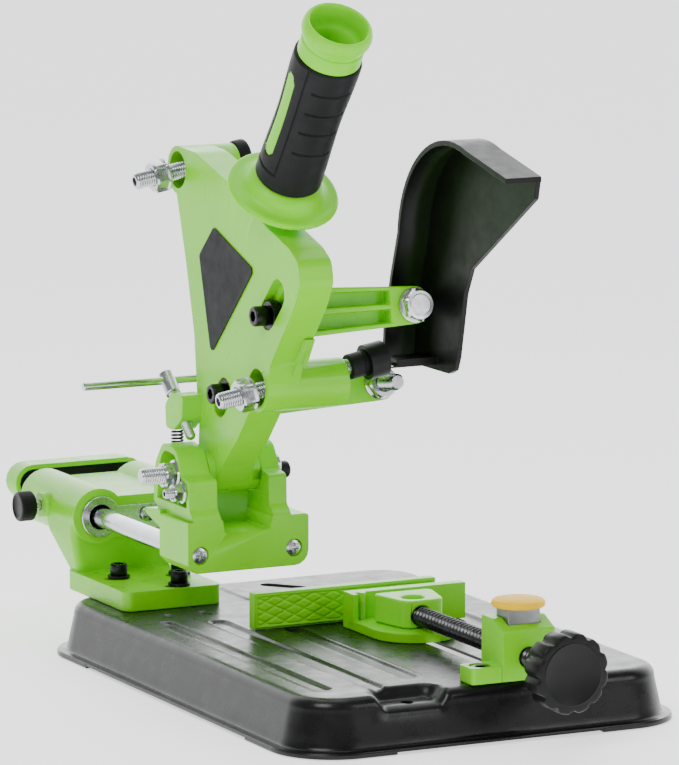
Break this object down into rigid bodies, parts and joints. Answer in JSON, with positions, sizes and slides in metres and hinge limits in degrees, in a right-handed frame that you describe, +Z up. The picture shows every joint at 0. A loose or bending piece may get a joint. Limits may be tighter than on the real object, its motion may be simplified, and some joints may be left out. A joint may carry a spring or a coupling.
{
  "type": "angle grinder stand",
  "caption": "Sliding, pivoting stand that turns a hand-held angle grinder into a chop saw, with a quick-release vise on a pressed base.",
  "frame": {"origin": "centre of the bounding box's footprint, at the level of the tray's corner pads", "axes": "+Z up, +Y back along the slide rods, +X to the operator's right along the vise jaws and the arm's pivot"},
  "size_m": [0.259, 0.509, 0.41],
  "materials": {
    "green_casting": "die casting with gloss green powder coat",
    "green_iron": "casting with gloss green powder coat",
    "lime_plastic": "satin moulded",
    "black_steel": "pressed sheet with satin black paint",
    "black_plastic": "matt moulded",
    "rubber": "soft matt",
    "zinc": "bright zinc plated",
    "chrome": "hard chrome, ground",
    "black_oxide": "black oxide",
    "amber_plastic": "gloss",
    "grey_steel": "sintered"
  },
  "bodies": {
    "base": {"base_tray": "black_steel", "rail_housing": "green_casting", "retaining_plate": "zinc", "plate_screw": "zinc", "housing_bolt_1": "black_oxide", "housing_bolt_2": "black_oxide", "housing_bolt_3": "black_oxide", "rod_seal_left": "rubber", "rod_seal_right": "rubber", "vise_block": "green_iron", "vise_block_bolt_1": "black_oxide", "vise_block_bolt_2": "black_oxide", "fixed_jaw_bolt": "black_oxide"},
    "lock": {"lock_knob": "black_plastic", "lock_screw": "zinc"},
    "carriage": {"yoke": "green_casting", "slide_rod_left": "chrome", "slide_rod_right": "chrome", "rod_screw_left": "zinc", "rod_screw_right": "zinc", "rod_bumper_left": "rubber", "rod_bumper_right": "rubber", "end_plate": "green_casting", "pivot_bolt": "zinc", "pivot_nut": "zinc", "pivot_cap": "black_plastic", "stop_bolt": "zinc", "stop_nut": "zinc", "return_spring": "black_oxide"},
    "arm": {"arm_casting": "green_casting", "label_plate": "black_plastic", "upper_stud": "zinc", "upper_stud_nut": "zinc", "upper_stud_pad": "rubber", "lower_stud": "zinc", "lower_stud_nut": "zinc", "lower_stud_pad": "rubber", "handle_core": "lime_plastic", "handle_sleeve": "rubber", "handle_bolt": "zinc"},
    "depth": {"depth_screw": "zinc"},
    "tommy": {"tommy_bar": "chrome"},
    "upper_screw": {"slot_screw_upper": "black_oxide"},
    "upper_grip": {"gripping_arm_upper": "green_casting", "grip_bolt_upper": "zinc", "grip_nut_upper": "zinc"},
    "lower_screw": {"slot_screw_lower": "black_oxide"},
    "lower_grip": {"gripping_arm_lower": "green_casting", "grip_bolt_lower": "zinc", "grip_nut_lower": "zinc"},
    "disc_guard": {"guard": "black_plastic"},
    "jaw_carrier": {"swivel_block": "green_iron"},
    "jaw": {"moving_jaw": "green_iron"},
    "screw": {"vise_screw": "black_oxide", "vise_knob": "black_plastic"},
    "angle_jaw": {"fixed_jaw": "green_iron"},
    "release": {"release_button": "amber_plastic", "release_stem": "grey_steel"}
  },
  "joints": [
    {"name": "carriage_slide", "type": "slide", "parent": "base", "child": "carriage", "axis": [0, 1, 0], "range_m": [0, 0.078]},
    {"name": "arm_pivot", "type": "hinge", "parent": "carriage", "child": "arm", "pos_m": [-0.0535, 0.0255, 0.123], "axis": [1, 0, 0], "range_deg": [0, 40], "stiffness_Nm_per_rad": 3, "springref_deg": -57.3, "deforming": ["return_spring"]},
    {"name": "depth_turn", "type": "hinge", "parent": "arm", "child": "depth", "pos_m": [-0.0745, 0.0455, 0.1576], "axis": [0, 0.7413, 0.6712], "range_deg": [0, 90]},
    {"name": "tommy_slide", "type": "slide", "parent": "depth", "child": "tommy", "axis": [1, 0, 0], "range_m": [-0.009, 0.04]},
    {"name": "upper_grip_slide", "type": "slide", "parent": "arm", "child": "upper_screw", "axis": [0, -0.7071, 0.7071], "range_m": [0, 0.019]},
    {"name": "upper_grip_swing", "type": "hinge", "parent": "upper_screw", "child": "upper_grip", "pos_m": [-0.0535, -0.0565, 0.2265], "axis": [1, 0, 0], "range_deg": [-10, 2]},
    {"name": "lower_grip_slide", "type": "slide", "parent": "arm", "child": "lower_screw", "axis": [0, -0.7071, 0.7071], "range_m": [-0.009, 0]},
    {"name": "lower_grip_swing", "type": "hinge", "parent": "lower_screw", "child": "lower_grip", "pos_m": [-0.0535, 0.0015, 0.1732], "axis": [1, 0, 0], "range_deg": [0, 8]},
    {"name": "guard_swivel", "type": "hinge", "parent": "arm", "child": "disc_guard", "pos_m": [-0.04, -0.0431, 0.1851], "axis": [0.9848, 0, 0.1736], "range_deg": [0, 5]},
    {"name": "lock_turn", "type": "hinge", "parent": "base", "child": "lock", "pos_m": [-0.11, 0.1835, 0.0808], "axis": [1, 0, 0], "range_deg": [-360, 0]},
    {"name": "jaw_slide", "type": "slide", "parent": "base", "child": "jaw_carrier", "axis": [0, 1, 0], "range_m": [-0.085, 0.0115]},
    {"name": "jaw_swivel", "type": "hinge", "parent": "jaw_carrier", "child": "jaw", "pos_m": [0.027, -0.0575, 0.04], "axis": [0, 0, 1], "range_deg": [-2, 2]},
    {"name": "screw_turn", "type": "hinge", "parent": "jaw_carrier", "child": "screw", "pos_m": [0.027, -0.2, 0.045], "axis": [0, 1, 0], "continuous": true},
    {"name": "angle_jaw_turn", "type": "hinge", "parent": "base", "child": "angle_jaw", "pos_m": [-0.0125, 0.0145, 0.034], "axis": [0, 0, 1], "range_deg": [0, 45]},
    {"name": "release_press", "type": "slide", "parent": "base", "child": "release", "axis": [0, 0, -1], "range_m": [0, 0.004], "stiffness_N_per_m": 800, "springref_m": -0.002}
  ],
  "couplings": [
    {"joint": "screw_turn", "follows": "jaw_slide", "rad_per_m": 1570.8}
  ]
}
